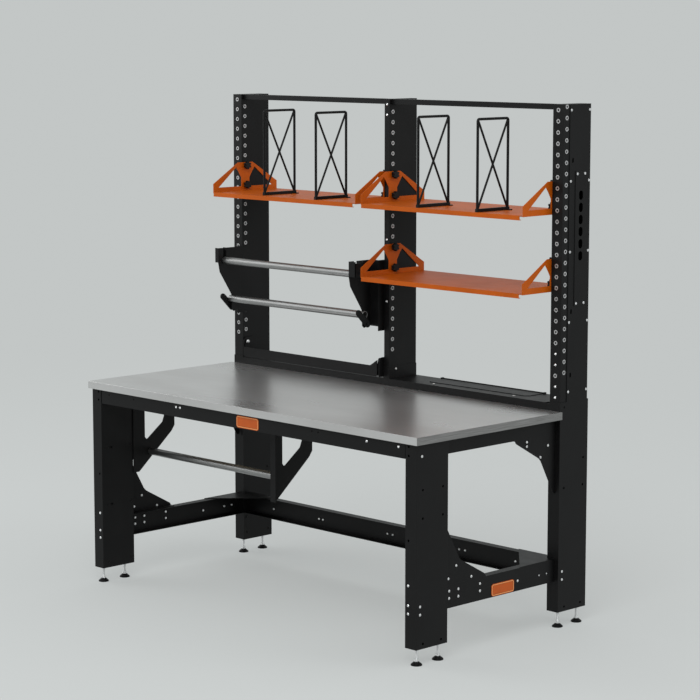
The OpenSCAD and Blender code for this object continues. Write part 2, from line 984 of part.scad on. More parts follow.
module upright_cover() {
  difference() {
    translate([up_x - cover_t, cover_y, rear_leg_top])
      cube([cover_t, cover_d, total_h - rear_leg_top]);
    cover_bolts() bolt_hole();
    for (s = cover_ovals_share)
      translate([up_x - cover_t - cut, cover_y + cover_oval_y,
        total_h - s * (total_h - rear_leg_top)])
        rotate([90, 0, 90]) oval(oval_w, oval_h, cover_t + 2 * cut);
  }
}
cover_oval_y = 18;
slot_plate_z = total_h - slot_plate_share * (total_h - rear_leg_top) - slot_plate_h;

module slot_window() {
  translate([up_x - cover_t - cut, slot_plate_y + slot_bolt_inset,
    slot_plate_z + slot_first - slot_h])
    cube([cover_t + 2 * cut, slot_plate_w - 2 * slot_bolt_inset,
      (slot_count - 1) * slot_pitch + 2 * slot_h]);
}

module upright_covers() {
  color(black) place() {
    middle_sleeve();
    upright_cover();
    right_side() difference() {
      upright_cover();
      slot_window();
      slot_plate_bolts() bolt_hole();
    }
  }
}

module slot_plate_bolts() {
  for (z = [slot_bolt_inset, slot_plate_h - slot_bolt_inset],
    y = [slot_bolt_inset, slot_plate_w - slot_bolt_inset])
    translate([up_x - cover_t - slot_plate_t, slot_plate_y + y, slot_plate_z + z])
      to_left() children();
}

module cable_slot_plate() {
  color(black) place() right_side() difference() {
    translate([up_x - cover_t - slot_plate_t, slot_plate_y, slot_plate_z])
      cube([slot_plate_t, slot_plate_w, slot_plate_h]);
    for (k = [0 : slot_count - 1])
      translate([up_x - cover_t - slot_plate_t - cut, slot_plate_y + slot_plate_w / 2,
        slot_plate_z + slot_first + k * slot_pitch])
        rotate([90, 0, 90]) oval(slot_w, slot_h, slot_plate_t + 2 * cut);
    slot_plate_bolts() bolt_hole();
  }
}

// Lugs on the tray that hold the flap's pin at both ends.
module hinge_lugs() {
  for (x = [flap_x - run_gap - hinge_lug_w, flap_x + flap_w + run_gap])
    translate([x, flap_y + flap_d - hinge_lug_d / 2, tray_z]) difference() {
      cube([hinge_lug_w, hinge_lug_d, hinge_lug_h]);
      translate([-cut, hinge_lug_d / 2, flap_lift]) to_right()
        cylinder(d = flap_pin_d + 2 * run_gap, h = hinge_lug_w + 2 * cut);
    }
}

// Cable tray: a channel open below, with a hatch under the flap.
module flap_outline(inset) {
  difference() {
    translate([inset, inset]) square([flap_w - 2 * inset, flap_d - 2 * inset]);
    for (x = [inset, flap_w - inset]) translate([x, inset]) rotate([0, 0, 45])
      square([flap_corner, flap_corner], center = true);
  }
}

module cable_tray() {
  color(black) place() union() {
    hinge_lugs();
    tray_body();
  }
}

module tray_body() {
  difference() {
    translate([tray_x, rear_y, under_z]) cube([tray_len, tray_d, tray_z - under_z]);
    translate([tray_x - cut, rear_y + tray_t, under_z - cut])
      cube([tray_len + 2 * cut, tray_d - 2 * tray_t, tray_z - under_z - tray_t + cut]);
    translate([-tray_x - tray_end_gap, rear_y - cut, tray_z - tray_t - cut])
      cube([tray_end_gap + cut, tray_d + 2 * cut, tray_t + 2 * cut]);
    translate([mid_x, up_y, tray_z - tray_t - cut])
      cube([middle_w, upright_d, tray_t + 2 * cut]);
    translate([flap_x, flap_y, tray_z - tray_t - cut])
      linear_extrude(tray_t + 2 * cut) flap_outline(flap_lap);
  }
}

// The flap lies on the tray's top and turns on a pin along its rear edge.
module tray_flap() {
  color(black) place() translate([flap_x, flap_y, tray_z]) union() {
    linear_extrude(tray_t) flap_outline(0);
    translate([-hinge_pin_out, flap_d, flap_lift]) to_right()
      cylinder(d = flap_pin_d, h = flap_w + 2 * hinge_pin_out);
  }
}

// Tear-off bar: a strip with a raised lug at its right end and an arm to each pivot.
module tear_bar() {
  x0 = leg_in_x + bar_gap_left;
  x1 = mid_x - bar_right_short;
  color(black) place() difference() {
    union() {
      translate([x0, bar_y, bar_z]) to_front() mirror([0, 0, 1]) linear_extrude(bar_t)
        polygon([[0, 0], [x1 - x0, 0], [x1 - x0, bar_h + bar_lug_h],
          [x1 - x0 - bar_lug_w, bar_h], [0, bar_h]]);
      bar_arm(x0);
      bar_arm(x1 - bar_arm_t);
    }
    translate([x0 - cut, pivot_y, pivot_z]) to_right()
      cylinder(d = pivot_d + 2 * run_gap, h = x1 - x0 + 2 * cut);
  }
}

module bar_arm(x) {
  translate([x, 0, 0]) side_plate(bar_arm_t) union() {
    translate([bar_y, bar_z]) square([arm_w, bar_h]);
    polygon([[bar_y, bar_z + bar_h / 2], [bar_y + arm_w, bar_z],
      [pivot_y + arm_w / 2, pivot_z], [pivot_y - arm_w / 2, pivot_z]]);
    translate([pivot_y, pivot_z]) circle(d = arm_w);
  }
}

// Fixed brackets of the bar: a cheek on each upright with its pivot pin.
module bar_cheek(reach) {
  side_plate(bracket_arm_t) union() {
    translate([up_y, tray_z]) square([stand_w, pivot_z - tray_z]);
    translate([up_y - reach, pivot_z - nose_h]) square([reach + arm_w, nose_h]);
    translate([up_y + arm_w, pivot_z]) square([stand_w - 2 * arm_w, arm_w]);
    for (y = [arm_w - reach, stand_w - arm_w]) translate([up_y + y, pivot_z]) circle(r = arm_w);
    translate([up_y + arm_w - reach, pivot_z]) square([reach, arm_w]);
  }
}

module tear_bar_brackets() {
  x_left = leg_in_x;
  x_right = mid_x - sleeve_t - bracket_arm_t;
  color(black) place() union() {
    translate([x_left, 0, 0]) bar_cheek(0);
    translate([x_right, 0, 0]) bar_cheek(cheek_reach);
    translate([x_left + bracket_arm_t, pivot_y, pivot_z]) to_right()
      cylinder(d = pivot_d, h = bar_side_gap + bar_arm_t + bar_side_gap);
    translate([mid_x - bar_right_short - bar_arm_t - bar_side_gap, pivot_y, pivot_z]) to_right()
      cylinder(d = pivot_d, h = x_right - mid_x + bar_right_short + bar_arm_t + bar_side_gap);
  }
}

// Shelves: x0 and x1 are the faces of the uprights beside it.
function shelf_top(row) = total_h - side_first - row * insert_pitch - shelf_drop;

module shelf(x0, x1, row) {
  a = x0 + lift_gap + bracket_t;
  b = x1 - lift_gap - bracket_t;
  z = shelf_top(row);
  difference() {
    translate([a, shelf_y, z - shelf_lip]) cube([b - a, shelf_d, shelf_lip]);
    translate([a - cut, shelf_y + shelf_t, z - shelf_lip + shelf_t])
      cube([b - a + 2 * cut, shelf_d - 2 * shelf_t, shelf_lip - 2 * shelf_t]);
    translate([a - cut, shelf_y + lip_return, z - shelf_lip - cut])
      cube([b - a + 2 * cut, shelf_d - 2 * lip_return, shelf_lip - shelf_t]);
    for (y = [-cut, shelf_d - lip_return])
      translate([b - lip_relief, shelf_y + y, z - shelf_lip - cut])
        cube([lip_relief + cut, lip_return + cut, shelf_lip - shelf_t + cut]);
  }
}

module shelf_upper_left() {
  color(orange) place() shelf(up_in_x, mid_x, upper_row_count);
}

module shelf_upper_right() {
  color(orange) place() shelf(mid_x + middle_w, -up_in_x, upper_row_count);
}

module shelf_lower_right() {
  color(orange) place() shelf(mid_x + middle_w, -up_in_x, lower_row_count);
}

// Brackets: an open triangle with a central strip and a folded edge below.
module bracket_outline() {
  difference() {
    polygon([[0, 0], [shelf_d, 0], [shelf_d, bracket_nose_share * bracket_h],
      [bracket_top_share[1] * shelf_d, bracket_h], [bracket_top_share[0] * shelf_d, bracket_h],
      [0, bracket_nose_share * bracket_h]]);
    for (side = [0, 1]) translate([side * shelf_d, 0]) mirror([side, 0])
      polygon([for (p = bracket_window_share) [p[0] * shelf_d, p[1] * bracket_h]]);
  }
}

module knob_places(row) {
  for (k = knob_row_counts) side_row(row + k) children();
}

module bracket(row) {
  difference() {
    translate([0, shelf_y, shelf_top(row) - shelf_t - bracket_t]) union() {
      side_plate(bracket_t) bracket_outline();
      translate([0, lip_return, 0]) cube([bracket_flange, shelf_d - 2 * lip_return, bracket_t]);
    }
    knob_places(row) translate([-cut, 0, 0]) to_right()
      cylinder(d = knob_bore_d, h = bracket_t + 2 * cut, $fn = 24);
  }
}

module shelf_ends(x0, x1) {
  translate([x0 + lift_gap, 0, 0]) children();
  translate([x1 - lift_gap, 0, 0]) mirror([1, 0, 0]) children();
}

module shelf_brackets() {
  color(orange) place() {
    shelf_ends(up_in_x, mid_x) bracket(upper_row_count);
    shelf_ends(mid_x + middle_w, -up_in_x) bracket(upper_row_count);
    shelf_ends(mid_x + middle_w, -up_in_x) bracket(lower_row_count);
  }
}

// Star knob: a lobed head and a neck on a screw that enters an insert.
module knob() {
  union() {
    to_right() translate([0, 0, bracket_t]) cylinder(d = knob_neck_d, h = knob_neck_h);
    to_right() translate([0, 0, bracket_t + knob_neck_h]) linear_extrude(knob_h) union() {
      circle(d = knob_d * knob_ring_share);
      for (k = [0 : knob_lobe_count - 1]) rotate([0, 0, k * 360 / knob_lobe_count])
        translate([knob_d / 2 * (1 - knob_lobe_share), 0]) circle(d = knob_d * knob_lobe_share);
    }
    translate([-lift_gap - knob_reach, 0, 0]) to_right()
      cylinder(d = screw_d, h = lift_gap + knob_reach + bracket_t);
  }
}

// One knob of a shelf: on its left (0) or right (1) bracket, at the row k below the top.
module knob_at(x0, x1, end, row, k) {
  color(black) place() translate([end > 0 ? x1 - lift_gap : x0 + lift_gap, 0, 0])
    mirror([end, 0, 0]) side_row(row + k) knob();
}

module star_knob_1() {
  knob_at(up_in_x, mid_x, 0, upper_row_count, knob_row_counts[0]);
}

module star_knob_2() {
  knob_at(up_in_x, mid_x, 0, upper_row_count, knob_row_counts[1]);
}

module star_knob_3() {
  knob_at(up_in_x, mid_x, 1, upper_row_count, knob_row_counts[0]);
}

module star_knob_4() {
  knob_at(up_in_x, mid_x, 1, upper_row_count, knob_row_counts[1]);
}

module star_knob_5() {
  knob_at(mid_x + middle_w, -up_in_x, 0, upper_row_count, knob_row_counts[0]);
}

module star_knob_6() {
  knob_at(mid_x + middle_w, -up_in_x, 0, upper_row_count, knob_row_counts[1]);
}

module star_knob_7() {
  knob_at(mid_x + middle_w, -up_in_x, 1, upper_row_count, knob_row_counts[0]);
}

module star_knob_8() {
  knob_at(mid_x + middle_w, -up_in_x, 1, upper_row_count, knob_row_counts[1]);
}

module star_knob_9() {
  knob_at(mid_x + middle_w, -up_in_x, 0, lower_row_count, knob_row_counts[0]);
}

module star_knob_10() {
  knob_at(mid_x + middle_w, -up_in_x, 0, lower_row_count, knob_row_counts[1]);
}

module star_knob_11() {
  knob_at(mid_x + middle_w, -up_in_x, 1, lower_row_count, knob_row_counts[0]);
}

module star_knob_12() {
  knob_at(mid_x + middle_w, -up_in_x, 1, lower_row_count, knob_row_counts[1]);
}

// Divider: a bent rod frame with crossed braces on a flat bar with two foot tabs.
module rod(len, d) {
  cylinder(d = d, h = len);
}

module divider() {
  inner = divider_d - rod_d;
  leg_len = divider_h - foot_bar_h - rod_d / 2 - rod_bend;
  z0 = foot_bar_h;
  y0 = rod_d / 2;
  y1 = divider_d - rod_d / 2;
  run = y1 - y0;
  rise = divider_h - rod_d / 2 - z0 / 2;
  tilt = atan2(run, rise);
  union() {
    translate([-foot_bar_w / 2, 0, 0]) cube([foot_bar_w, divider_d, foot_bar_h]);
    translate([0, divider_d - foot_tab_len, 0]) cube([foot_tab_w, foot_tab_len, foot_tab_t]);
    for (y = [y0, y1]) translate([0, y, z0 / 2]) rod(leg_len + z0 / 2, rod_d);
    translate([0, y0 + rod_bend, divider_h - rod_d / 2]) rotate([-90, 0, 0])
      rod(run - 2 * rod_bend, rod_d);
    for (side = [0, 1])
      translate([0, side * divider_d, 0]) mirror([0, side, 0])
        translate([0, y0 + rod_bend, divider_h - rod_d / 2 - rod_bend]) rotate([90, 0, -90])
          rotate_extrude(angle = 90) translate([rod_bend, 0]) circle(d = rod_d);
    for (side = [0, 1]) translate([0, side * divider_d, 0]) mirror([0, side, 0])
      translate([0, y0, z0 / 2]) rotate([-tilt, 0, 0])
        rod(norm([run, rise]) - rod_bend, brace_d);
  }
}

module divider_at(k) {
  color(black) place() translate([divider_x_share[k] * top_w,
    shelf_y + divider_y_share[k] * shelf_d, shelf_top(upper_row_count)]) divider();
}

module divider_1() {
  divider_at(0);
}

module divider_2() {
  divider_at(1);
}

module divider_3() {
  divider_at(2);
}

module divider_4() {
  divider_at(3);
}

// Upper roll holder. The plates' webs face each other across the left bay.
roll_x_left = up_in_x + lift_gap + roll_step_left;
roll_x_right = mid_x - lift_gap - roll_step_right;

// A seat is cut as a slot that ends in a round bottom.
module seat_slot(y, z, d, tilt, len) {
  translate([-cut, y, z]) rotate([tilt, 0, 0]) union() {
    to_right() cylinder(d = d, h = plate_t + 2 * cut);
    translate([0, -d / 2, 0]) cube([plate_t + 2 * cut, d, len]);
  }
}

module roll_plate(step, lip) {
  difference() {
    union() {
      translate([0, roll_y, roll_top_z - roll_h]) side_plate(plate_t)
        polygon([for (p = roll_share) [p[0] * roll_depth, p[1] * roll_h]]);
      translate([-lip, roll_y, roll_top_z - roll_lip_h]) cube([lip + plate_t, plate_t, roll_lip_h]);
      translate([-lip, top_tube_y + journal_d / 2 + free_gap, roll_top_z - roll_lip_h])
        cube([lip + plate_t, plate_t, roll_lip_h]);
      translate([-step, roll_y + roll_depth - plate_t, roll_top_z - roll_h + roll_wing_drop / 2])
        cube([step + plate_t, plate_t, roll_h - roll_wing_drop / 2]);
      translate([-step, roll_y + roll_depth - plate_t, roll_top_z - roll_h - roll_wing_drop])
        cube([plate_t, roll_wing_d + plate_t, roll_h + roll_wing_drop]);
      translate([-lever_pin_out, lever_pin_y, lever_pin_z]) to_right()
        cylinder(d = lever_pin_d, h = lever_pin_out + plate_t);
    }
    seat_slot(top_tube_y, top_tube_z, journal_d + 2 * run_gap, 0, roll_h);
    seat_slot(low_tube_y, low_tube_z, tube_d + 2 * run_gap, 90, roll_depth);
  }
}

module upper_roll_plates() {
  color(black) place() {
    translate([roll_x_left - plate_t, 0, 0]) roll_plate(roll_step_left - plate_t, roll_lip_left);
    translate([roll_x_right + plate_t, 0, 0]) mirror([1, 0, 0])
      roll_plate(roll_step_right - plate_t, roll_lip_right);
  }
}

module upper_roll_tube() {
  x0 = roll_x_left + tube_end_play;
  x1 = roll_x_right - tube_end_play;
  reach = tube_end_play + plate_t + top_journal_out;
  color(steel) place() translate([0, top_tube_y, top_tube_z]) union() {
    translate([x0, 0, 0]) to_right() cylinder(d = tube_d, h = x1 - x0);
    translate([x0 - reach, 0, 0]) to_right() cylinder(d = journal_d, h = x1 - x0 + 2 * reach);
  }
}

module lower_guide_tube() {
  x0 = roll_x_left - plate_t - tube_out;
  x1 = roll_x_right + plate_t + tube_out;
  color(steel) place() translate([0, low_tube_y, low_tube_z]) difference() {
    translate([x0, 0, 0]) to_right() cylinder(d = tube_d, h = x1 - x0);
    translate([x0 - cut, 0, 0]) to_right()
      cylinder(d = tube_d - 2 * tube_wall, h = x1 - x0 + 2 * cut);
  }
}

// Latch lever, drawn from its pivot along its length and turned to its place.
module latch() {
  translate([0, lever_pin_y, lever_pin_z]) rotate([lever_rise, 0, 0]) difference() {
    side_plate(lever_t) union() {
      circle(d = lever_root_w);
      polygon([[0, -lever_root_w / 2], [lever_len - lever_tip_w / 2, -lever_tip_w / 2],
        [lever_len - lever_tip_w / 2, lever_tip_w / 2], [0, lever_root_w / 2]]);
      translate([lever_len - lever_tip_w / 2, 0]) circle(d = lever_tip_w);
    }
    translate([-cut, 0, 0]) to_right()
      cylinder(d = lever_pin_d + 2 * run_gap, h = lever_t + 2 * cut);
  }
}

module latch_left() {
  color(black) place() translate([roll_x_left - plate_t - tube_out - lever_gap - lever_t, 0, 0])
    latch();
}

module latch_right() {
  color(black) place() translate([roll_x_right + plate_t + tube_out + lever_gap, 0, 0]) latch();
}

// Lower roll holder under the worktop.
module low_roll_plate(side, flange_low, flange_high) {
  difference() {
    union() {
      translate([0, rail_y, under_z - low_roll_h]) side_plate(plate_t)
        polygon([for (p = low_roll_share) [p[0] * low_roll_d, p[1] * low_roll_h]]);
      translate([side > 0 ? 0 : plate_t - low_roll_flange, rail_y, flange_low])
        cube([low_roll_flange, plate_t, flange_high - flange_low]);
      for (y = [0, low_prong_share])
        translate([side > 0 ? plate_t - low_top_flange : 0, rail_y + y * low_roll_d,
          under_z - plate_t])
          cube([low_top_flange, (y > 0 ? 1 - low_prong_share : low_strip_share) * low_roll_d,
            plate_t]);
    }
    translate([-cut, low_tube_hold_y, low_tube_hold_z]) to_right()
      cylinder(d = journal_d + 2 * run_gap, h = plate_t + 2 * cut);
  }
}

module lower_roll_plates() {
  color(black) place() {
    translate([low_roll_x_left - plate_t, 0, 0])
      low_roll_plate(-1, low_rail_z + low_rail_h + gusset_len + top_gap, apron_z - top_gap);
    translate([low_roll_x_right, 0, 0]) low_roll_plate(1, under_z - low_roll_h, under_z);
  }
}

module lower_roll_tube() {
  x0 = low_roll_x_left + tube_end_play;
  x1 = low_roll_x_right - tube_end_play;
  reach = tube_end_play + plate_t;
  color(steel) place() translate([0, low_tube_hold_y, low_tube_hold_z]) union() {
    translate([x0, 0, 0]) to_right() cylinder(d = tube_d, h = x1 - x0);
    translate([x0 - reach, 0, 0]) to_right() cylinder(d = journal_d, h = x1 - x0 + 2 * reach);
  }
}

// Bare plates with rounded corners and a groove along their edges.
module badge_shape(inset) {
  w = badge_w / 2 - inset;
  h = badge_h / 2 - inset;
  r = badge_r - inset;
  union() {
    translate([r - w, -h]) square([2 * (w - r), 2 * h]);
    translate([-w, r - h]) square([2 * w, 2 * (h - r)]);
    for (x = [-1, 1], y = [-1, 1]) translate([x * (w - r), y * (h - r)]) circle(r = r);
  }
}

module badge() {
  difference() {
    linear_extrude(badge_t) badge_shape(0);
    translate([0, 0, badge_t - badge_groove_deep]) linear_extrude(badge_t) difference() {
      badge_shape(badge_groove_in);
      badge_shape(badge_groove_in + badge_groove);
    }
  }
}

module number_plates() {
  color(orange) place() {
    translate([badge_x, apron_y, apron_z + badge_share * (apron_h - sheet_t)])
      to_front() badge();
    translate([-rail_x, rail_y + side_badge_share * rail_len, low_rail_z + low_badge_z])
      rotate([90, 0, 90]) badge();
  }
}
low_badge_z = 25;

// Bright heads on the ends of the tear-off bar's and the latches' pins.
module pin_heads() {
  translate([leg_in_x + bar_gap_left + bar_arm_t + bar_side_gap, pivot_y, pivot_z])
    to_right() bolt_head();
  translate([mid_x - bar_right_short - bar_arm_t - bar_side_gap, pivot_y, pivot_z])
    to_left() bolt_head();
  translate([roll_x_left - plate_t - lever_pin_out, lever_pin_y, lever_pin_z])
    to_left() bolt_head();
  translate([roll_x_right + plate_t + lever_pin_out, lever_pin_y, lever_pin_z])
    to_right() bolt_head();
}

module bolts() {
  color(steel) place() {
    both_sides() {
      translate([leg_x, top_overhang, 0]) front_leg_bolts() bolt();
      translate([leg_x, rear_y, 0]) rear_leg_bolts() bolt();
      low_side_bolts() nut_bolt();
      low_side_inner_bolts() short_bolt();
      at_upper_gusset() gusset_bolts(high_gusset_bolts_share) nut_bolt();
      at_lower_gusset() gusset_bolts(low_gusset_bolts_share) nut_bolt();
      cover_bolts() bolt();
    }
    translate([0, apron_y, 0]) apron_row(front_bolts_x) bolt();
    at_rear_apron() apron_row(rear_bolts_x) bolt();
    low_rear_bolts() bolt();
    right_front_bolts_at() bolt();
    middle_front_bolts_at() bolt();
    sleeve_bolts() bolt();
    pin_heads();
    right_side() slot_plate_bolts() bolt();
  }
}

worktop_core();
worktop_cover();
leg_front_left();
leg_front_right();
leg_rear_left();
leg_rear_right();
foot_fl_front();
foot_fl_rear();
foot_fr_front();
foot_fr_rear();
foot_rl_front();
foot_rl_rear();
foot_rr_front();
foot_rr_rear();
aprons();
side_rails_upper();
side_rails_lower();
rear_rail_lower();
corner_gussets();
under_top_members();
upright_left();
upright_middle();
upright_right();
head_rails();
upright_covers();
cable_slot_plate();
cable_tray();
tray_flap();
tear_bar();
tear_bar_brackets();
shelf_upper_left();
shelf_upper_right();
shelf_lower_right();
shelf_brackets();
star_knob_1();
star_knob_2();
star_knob_3();
star_knob_4();
star_knob_5();
star_knob_6();
star_knob_7();
star_knob_8();
star_knob_9();
star_knob_10();
star_knob_11();
star_knob_12();
divider_1();
divider_2();
divider_3();
divider_4();
upper_roll_plates();
upper_roll_tube();
lower_guide_tube();
latch_left();
latch_right();
lower_roll_plates();
lower_roll_tube();
number_plates();
thread_inserts();
bolts();
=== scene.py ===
import json
import math

import bpy
import bmesh
from mathutils import Matrix, Vector


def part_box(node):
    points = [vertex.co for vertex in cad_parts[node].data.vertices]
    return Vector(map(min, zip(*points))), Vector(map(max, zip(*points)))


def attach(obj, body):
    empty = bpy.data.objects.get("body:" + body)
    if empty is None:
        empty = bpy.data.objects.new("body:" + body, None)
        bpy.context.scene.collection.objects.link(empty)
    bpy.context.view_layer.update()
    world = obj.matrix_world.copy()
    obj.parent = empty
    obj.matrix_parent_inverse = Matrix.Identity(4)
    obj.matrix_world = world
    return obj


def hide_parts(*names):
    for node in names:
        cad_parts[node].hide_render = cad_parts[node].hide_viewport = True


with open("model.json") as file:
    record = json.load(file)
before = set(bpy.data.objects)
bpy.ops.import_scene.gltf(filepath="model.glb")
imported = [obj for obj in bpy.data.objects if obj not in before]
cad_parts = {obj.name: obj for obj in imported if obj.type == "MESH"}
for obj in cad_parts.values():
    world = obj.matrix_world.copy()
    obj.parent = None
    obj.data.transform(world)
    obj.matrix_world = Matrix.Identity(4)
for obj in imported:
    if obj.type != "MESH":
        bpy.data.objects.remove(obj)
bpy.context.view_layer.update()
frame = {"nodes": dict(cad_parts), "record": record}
nodes = frame["nodes"]

# Lengths are in metres, in the CAD's frame: +X right, +Y rear, +Z up, floor at z = 0.

# ---------------------------------------------------------------- materials

# The colour sockets of a Mix node: its two inputs and its result.
MIX_FIRST, MIX_SECOND, MIX_RESULT = 6, 7, 2
BEVEL_SAMPLES = 6


class Mat:
    """A small helper that builds one procedural node material."""

    def __init__(self, name):
        self.mat = bpy.data.materials.new(name)
        self.mat.use_nodes = True
        self.nt = self.mat.node_tree
        self.nt.nodes.clear()
        self.out = self.node("ShaderNodeOutputMaterial")
        self.bsdf = self.node("ShaderNodeBsdfPrincipled")
        self.link(self.bsdf, "BSDF", self.out, "Surface")
        self.coord = self.node("ShaderNodeTexCoord")

    def node(self, kind, **values):
        n = self.nt.nodes.new(kind)
        for key, value in values.items():
            setattr(n, key, value)
        return n

    def link(self, a, out, b, inp):
        self.nt.links.new(a.outputs[out], b.inputs[inp])

    def noise(self, scale, detail, rough, stretch=None):
        """Noise in object space; stretch scales the axes before it."""
        n = self.node("ShaderNodeTexNoise")
        n.inputs["Scale"].default_value = scale
        n.inputs["Detail"].default_value = detail
        n.inputs["Roughness"].default_value = rough
        if stretch:
            mapping = self.node("ShaderNodeMapping")
            mapping.inputs["Scale"].default_value = stretch
            self.link(self.coord, "Object", mapping, "Vector")
            self.link(mapping, "Vector", n, "Vector")
        else:
            self.link(self.coord, "Object", n, "Vector")
        return n

    def two_tone(self, src, low, high, from_share=0.3):
        """Ramp between two colours over the middle of a noise."""
        r = self.node("ShaderNodeValToRGB")
        stops = ((from_share, low), (1.0 - from_share, high))
        for element, (share, col) in zip(r.color_ramp.elements, stops):
            element.position = share
            element.color = opaque(col)
        self.link(src, "Fac", r, "Fac")
        return r

    def value(self, src, out, low, high):
        """An output's 0 to 1, mapped to low to high."""
        m = self.node("ShaderNodeMapRange")
        m.inputs["To Min"].default_value = low
        m.inputs["To Max"].default_value = high
        self.link(src, out, m, "Value")
        return m

    def axes(self, output="Object"):
        sep = self.node("ShaderNodeSeparateXYZ")
        self.link(self.coord, output, sep, "Vector")
        return sep

    def calc(self, operation, src, out, *fixed):
        """Math node on one output, with fixed values after it."""
        n = self.node("ShaderNodeMath", operation=operation)
        self.link(src, out, n, 0)
        for k, number in enumerate(fixed, start=1):
            n.inputs[k].default_value = number
        return n

    def calc_two(self, operation, a, a_out, b, b_out):
        """Math node on two outputs."""
        n = self.node("ShaderNodeMath", operation=operation)
        self.link(a, a_out, n, 0)
        self.link(b, b_out, n, 1)
        return n

    def base(self, ramp):
        self.link(ramp, "Color", self.bsdf, "Base Color")

    def base_by(self, factor, first, second):
        """Base colour, first where factor is 0 and second where it is 1.

        Each of the two is a ramp or a plain colour.
        """
        mix = self.node("ShaderNodeMix", data_type="RGBA")
        self.link(factor, "Value", mix, "Factor")
        for source, socket in ((first, MIX_FIRST), (second, MIX_SECOND)):
            if isinstance(source, tuple):
                mix.inputs[socket].default_value = opaque(source)
            else:
                self.link(source, "Color", mix, socket)
        self.link(mix, MIX_RESULT, self.bsdf, "Base Color")

    def roughness(self, src, low, high):
        self.link(self.value(src, "Fac", low, high), "Result", self.bsdf, "Roughness")

    def bump(self, src, out, strength, distance, edge):
        """Bump from an output, over edges that are rounded by edge."""
        b = self.node("ShaderNodeBump")
        b.inputs["Strength"].default_value = strength
        b.inputs["Distance"].default_value = distance
        self.link(src, out, b, "Height")
        if edge:
            bevel = self.node("ShaderNodeBevel", samples=BEVEL_SAMPLES)
            bevel.inputs["Radius"].default_value = edge
            self.link(bevel, "Normal", b, "Normal")
        self.link(b, "Normal", self.bsdf, "Normal")

    def set(self, **values):
        for key, value in values.items():
            self.bsdf.inputs[key.replace("_", " ")].default_value = value


def opaque(col):
    return tuple(col) + (1.0,)


def shades(col, low, high):
    """Two shades of a colour, as multiples of it."""
    return [tuple(min(1.0, c * k) for c in col) for k in (low, high)]


# Colours, linear.
BLACK = (0.0052, 0.0052, 0.0054)
PLASTIC = (0.0055, 0.0055, 0.0058)
ORANGE = (0.41, 0.076, 0.0014)
PLATE = (0.43, 0.075, 0.004)
# A lighter copy of the plates' orange: painted highlight on their raised rims.
PLATE_RIM_HIGHLIGHT = (0.76, 0.31, 0.11)
TUBE = (0.33, 0.332, 0.33)
ZINC = (0.86, 0.865, 0.87)
WORKTOP_TONES = (0.56, 0.553, 0.548), (0.66, 0.658, 0.655)
# The worktop's end faces: a darker copy of its steel's tones, as painted shade.
WORKTOP_END_SHADE_TONES = (0.19, 0.187, 0.185), (0.33, 0.328, 0.325)
STUD_TONES = (0.78, 0.785, 0.79), (0.9, 0.905, 0.91)
DISC_TONES = (0.003, 0.003, 0.0032), (0.0055, 0.0055, 0.0058)
INSERT_TONES = (0.46, 0.46, 0.463), (0.6, 0.6, 0.604)
BOARD_TONES = (0.2, 0.145, 0.09), (0.42, 0.33, 0.22)

PAINT_ROUGH_SPREAD = 0.07
METAL_ROUGH_SPREAD = 0.08
METAL_FROM_SHARE = 0.25
FINE_BUMP = 0.0002

# Drawn steel tube, with its fine lines along x.
TUBE_FINISH = {"col": TUBE, "rough": 0.4, "scale": 500.0, "stretch": (0.03, 1.0, 1.0)}


def paint(name, col, rough, peel, level, edge=0.0008, spread=0.12):
    """Powder coat or paint: a fine peel, slight changes of tone and gloss."""
    m = Mat(name)
    tone = m.noise(scale=7.0, detail=4.0, rough=0.6)
    m.base(m.two_tone(tone, *shades(col, 1 - spread, 1 + spread)))
    gloss = m.noise(scale=19.0, detail=5.0, rough=0.6)
    m.roughness(gloss, rough - PAINT_ROUGH_SPREAD, rough + PAINT_ROUGH_SPREAD)
    fine = m.noise(scale=900.0, detail=2.0, rough=0.5)
    m.bump(fine, "Fac", strength=peel, distance=0.0003, edge=edge)
    m.set(Metallic=0.0, Specular_IOR_Level=level)
    return m.mat


def metal_surface(m, col, rough, scale, stretch=None):
    """Cloudy gloss and a fine bump; returns the colour's ramp, which follows the bump."""
    tone = m.noise(scale=scale, detail=3.0, rough=0.6, stretch=stretch)
    cloud = m.noise(scale=11.0, detail=4.0, rough=0.6)
    m.roughness(cloud, rough - METAL_ROUGH_SPREAD, rough + METAL_ROUGH_SPREAD)
    m.bump(tone, "Fac", strength=0.12, distance=FINE_BUMP, edge=0.0005)
    return m.two_tone(tone, *shades(col, 0.86, 1.08), METAL_FROM_SHARE)


def steel(name, **finish):
    """Bare or plated steel."""
    m = Mat(name)
    m.base(metal_surface(m, **finish))
    m.set(Metallic=1.0)
    return m.mat


def banded_tube(name, low, high):
    """Drawn steel tube between x = low and x = high, black beyond them."""
    m = Mat(name)
    inner = m.calc("COMPARE", m.axes(), "X", (low + high) / 2, (high - low) / 2)
    m.base_by(inner, BLACK, metal_surface(m, **TUBE_FINISH))
    m.link(inner, "Value", m.bsdf, "Metallic")
    m.set(Specular_IOR_Level=0.2)
    return m.mat


FOOT_DISC_TOP = 0.0141
THREAD_PITCH = 0.0015


def foot_material(name):
    """Foot: black disc below, bright zinc stud above, split by height at rest."""
    m = Mat(name)
    sep = m.axes()
    tone = m.noise(scale=160.0, detail=3.0, rough=0.6)
    stud = m.calc("GREATER_THAN", sep, "Z", FOOT_DISC_TOP)
    m.base_by(stud, m.two_tone(tone, *DISC_TONES, METAL_FROM_SHARE),
              m.two_tone(tone, *STUD_TONES, METAL_FROM_SHARE))
    m.link(stud, "Value", m.bsdf, "Metallic")
    m.roughness(tone, 0.3, 0.5)
    turns = m.calc("MULTIPLY", sep, "Z", 2 * math.pi / THREAD_PITCH)
    wave = m.calc("SINE", turns, "Value")
    m.bump(wave, "Value", strength=0.5, distance=0.0004, edge=0.0003)
    m.set(Specular_IOR_Level=0.1)
    return m.mat


# Faces whose normal has more than this along x are the worktop's ends. They get painted shade: a
# darker copy of the steel's tones.
END_FACE = 0.7


